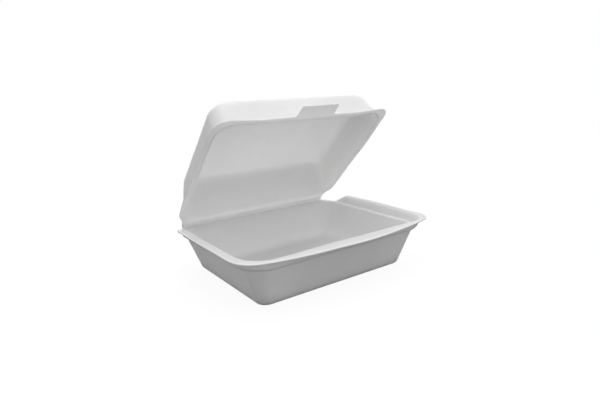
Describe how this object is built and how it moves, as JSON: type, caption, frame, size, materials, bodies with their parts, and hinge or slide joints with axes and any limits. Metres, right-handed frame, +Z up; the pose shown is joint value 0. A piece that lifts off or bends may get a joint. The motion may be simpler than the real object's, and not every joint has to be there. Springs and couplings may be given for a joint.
{
  "type": "foam clamshell container",
  "caption": "Hinged foam meal container: a drafted tub with an inner ledge and a flared lip, and a shallow tray lid that swings on a living hinge along the rear.",
  "frame": {"origin": "centre of the base's underside, which rests on the table", "axes": "+X along the hinge, +Y to the rear where the hinge is, +Z up"},
  "size_m": [0.242, 0.1956, 0.1861],
  "materials": {
    "foam": "satin foam skin"
  },
  "bodies": {
    "base": {"base": "foam"},
    "lid": {"lid": "foam"}
  },
  "joints": [
    {"name": "lid_hinge", "type": "hinge", "parent": "base", "child": "lid", "pos_m": [0, 0.0895, 0.04515], "axis": [-1, 0, 0], "range_deg": [-41.5, 135.5]}
  ]
}
